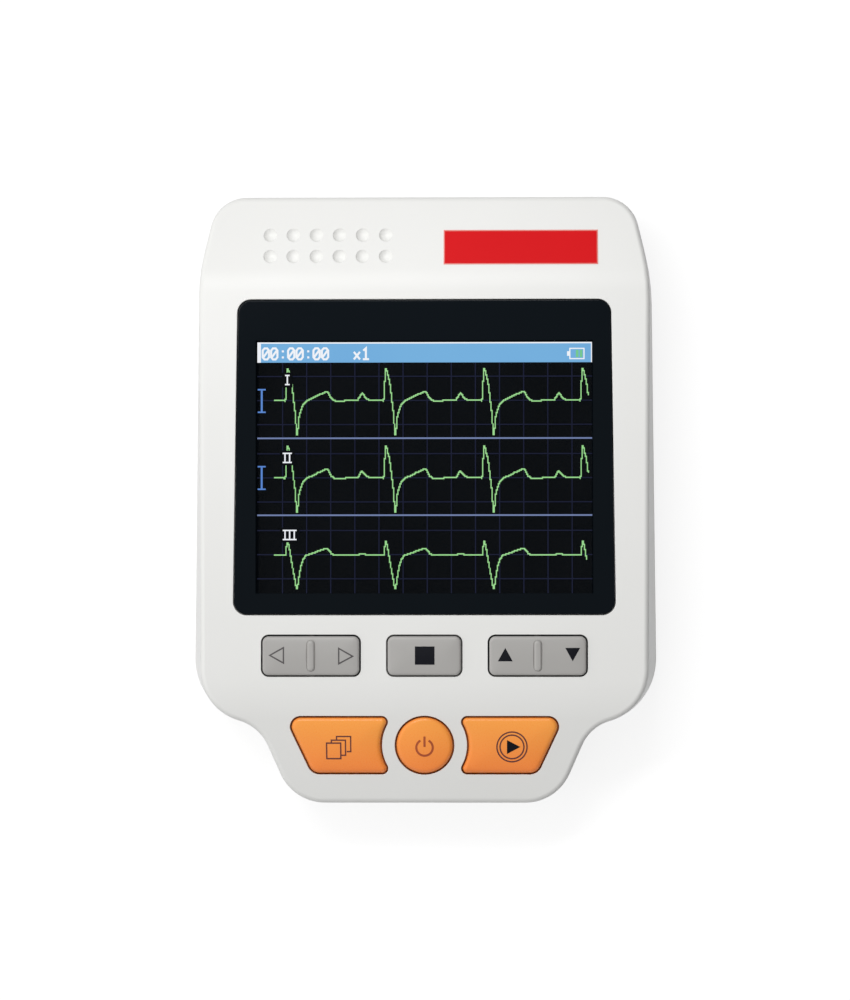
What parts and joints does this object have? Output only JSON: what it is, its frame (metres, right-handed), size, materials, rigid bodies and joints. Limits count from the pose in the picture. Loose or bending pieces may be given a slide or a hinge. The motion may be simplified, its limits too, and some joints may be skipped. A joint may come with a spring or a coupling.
{
  "type": "handheld ecg monitor",
  "caption": "Palm-sized ECG monitor: colour display over a row of grey keys and rockers and a row of orange keys on a narrow chin, with a sliding rear battery door.",
  "frame": {"origin": "middle of the flat rear face, under the middle of the overall length and width", "axes": "+Z out of the display, +Y along the length to the end with the sounder dimples, +X to the right of someone reading the display"},
  "size_m": [0.0982, 0.1284, 0.0251],
  "materials": {
    "white_plastic": "fine satin ABS, warm white",
    "grey_plastic": "fine satin ABS, taupe grey",
    "window_black": "polished acrylic, black behind its border",
    "tape_black": "black foam tape",
    "foam_black": "soft open foam",
    "display_glass": "dark display glass in its bezel",
    "frame_plastic": "black moulded plastic",
    "flex_amber": "amber polyimide film",
    "connector_ivory": "ivory nylon",
    "board_green": "green solder mask",
    "chip_black": "black moulded epoxy",
    "tin_plate": "tin-plated sheet",
    "sounder_black": "black moulded plastic",
    "silicone_grey": "matt silicone",
    "key_grey": "smooth grey moulding",
    "key_orange": "smooth orange moulding",
    "cell_wrap": "dark printed wrap",
    "gold_plate": "gold-plated spring contact",
    "stainless_steel": "fine brushed stainless steel",
    "zinc_steel": "zinc-plated screw"
  },
  "bodies": {
    "monitor": {"front_shell": "white_plastic", "rear_shell": "grey_plastic", "display_window": "window_black", "window_adhesive": "tape_black", "display_gasket": "foam_black", "display_module": "display_glass", "display_frame": "frame_plastic", "display_flex": "flex_amber", "flex_connector": "connector_ivory", "main_board": "board_green", "processor": "chip_black", "ecg_amplifier": "chip_black", "shield_can": "tin_plate", "sounder": "sounder_black", "lead_socket": "frame_plastic", "data_socket": "tin_plate", "silicone_keypad": "silicone_grey", "battery_pack": "cell_wrap", "battery_connector": "connector_ivory", "contact_blade_1": "gold_plate", "contact_blade_2": "gold_plate", "contact_blade_3": "gold_plate", "left_electrode": "stainless_steel", "right_electrode": "stainless_steel", "left_spring_pin": "gold_plate", "right_spring_pin": "gold_plate", "case_screw_1": "zinc_steel", "case_screw_2": "zinc_steel", "case_screw_3": "zinc_steel", "case_screw_4": "zinc_steel", "board_screw_1": "zinc_steel", "board_screw_2": "zinc_steel", "board_screw_3": "zinc_steel", "board_screw_4": "zinc_steel"},
    "left_right_rocker": {"left_right_rocker": "key_grey"},
    "stop_key": {"stop_key": "key_grey"},
    "up_down_rocker": {"up_down_rocker": "key_grey"},
    "review_key": {"review_key": "key_orange"},
    "power_key": {"power_key": "key_orange"},
    "measure_key": {"measure_key": "key_orange"},
    "battery_door": {"battery_door": "grey_plastic"}
  },
  "joints": [
    {"name": "left_right_tilt", "type": "hinge", "parent": "monitor", "child": "left_right_rocker", "pos_m": [-0.0237, -0.0328, 0.0209], "axis": [0, 1, 0], "range_deg": [-4, 4], "stiffness_Nm_per_rad": 0.1, "deforming": ["silicone_keypad"]},
    {"name": "up_down_tilt", "type": "hinge", "parent": "monitor", "child": "up_down_rocker", "pos_m": [0.0237, -0.0328, 0.0209], "axis": [0, 1, 0], "range_deg": [-4, 4], "stiffness_Nm_per_rad": 0.1, "deforming": ["silicone_keypad"]},
    {"name": "stop_press", "type": "slide", "parent": "monitor", "child": "stop_key", "axis": [0, 0, -1], "range_m": [0, 0.0008], "stiffness_N_per_m": 1200, "deforming": ["silicone_keypad"]},
    {"name": "review_press", "type": "slide", "parent": "monitor", "child": "review_key", "axis": [0, 0, -1], "range_m": [0, 0.0008], "stiffness_N_per_m": 1200, "deforming": ["silicone_keypad"]},
    {"name": "power_press", "type": "slide", "parent": "monitor", "child": "power_key", "axis": [0, 0, -1], "range_m": [0, 0.0008], "stiffness_N_per_m": 1200, "deforming": ["silicone_keypad"]},
    {"name": "measure_press", "type": "slide", "parent": "monitor", "child": "measure_key", "axis": [0, 0, -1], "range_m": [0, 0.0008], "stiffness_N_per_m": 1200, "deforming": ["silicone_keypad"]},
    {"name": "battery_door_slide", "type": "slide", "parent": "monitor", "child": "battery_door", "axis": [0, -1, 0], "range_m": [0, 0.058]}
  ]
}
